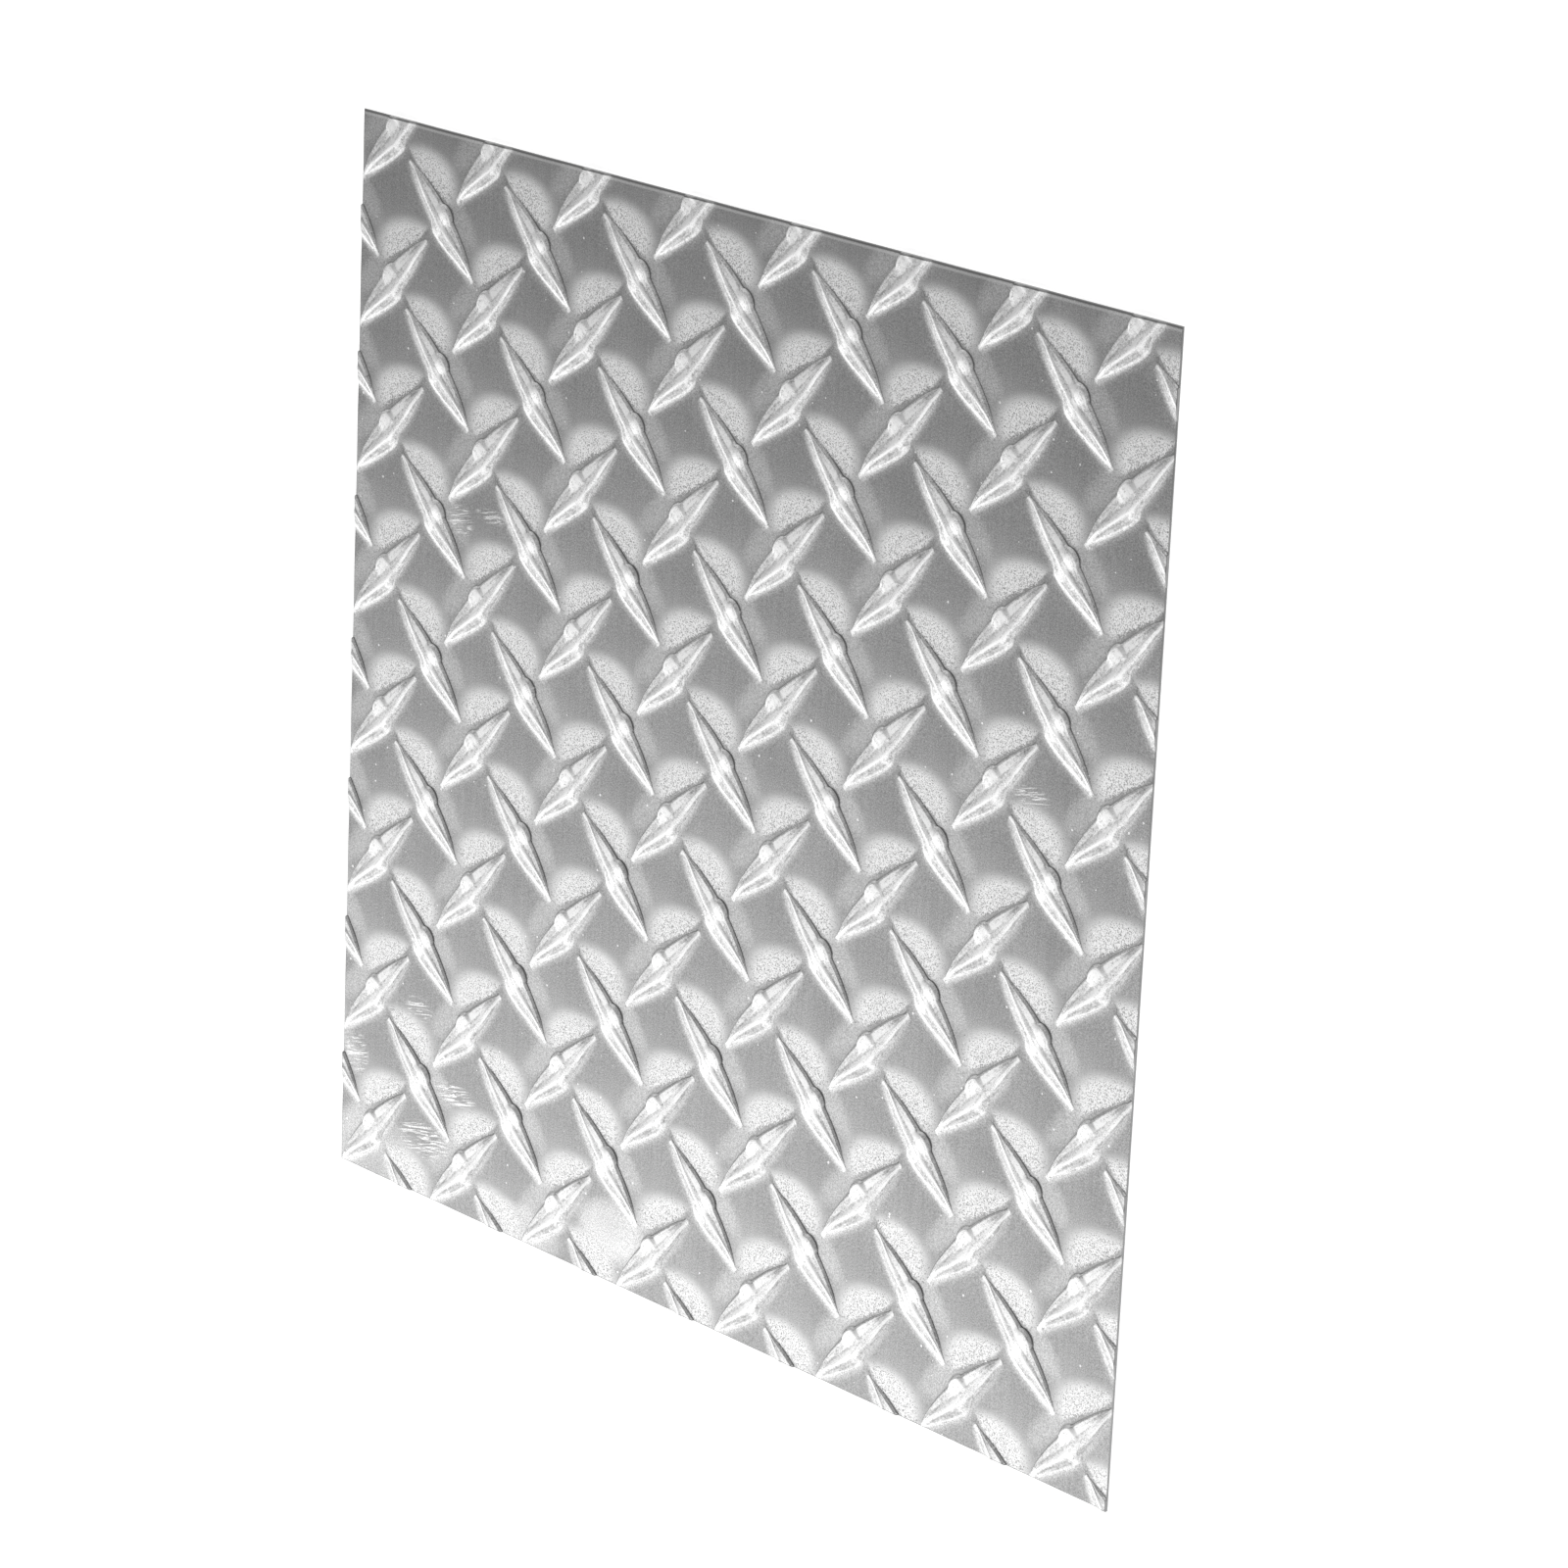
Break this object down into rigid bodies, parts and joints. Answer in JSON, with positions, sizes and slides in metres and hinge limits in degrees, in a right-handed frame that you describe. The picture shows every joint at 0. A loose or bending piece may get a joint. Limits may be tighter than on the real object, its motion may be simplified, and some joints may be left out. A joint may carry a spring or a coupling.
{
  "type": "aluminium checker plate",
  "caption": "Square cut of aluminium tread plate lying flat: slim raised lozenge lugs slant right and left by turns on top, and the underside is plain and flat.",
  "frame": {"origin": "middle of the flat underside", "axes": "+Z out of the face with the lugs, X across the sheet and Y along it"},
  "size_m": [0.25, 0.25, 0.0021],
  "materials": {
    "bright_aluminium": "bright rolled, faintly brushed"
  },
  "bodies": {
    "root": {"checker_plate": "bright_aluminium"}
  },
  "joints": []
}
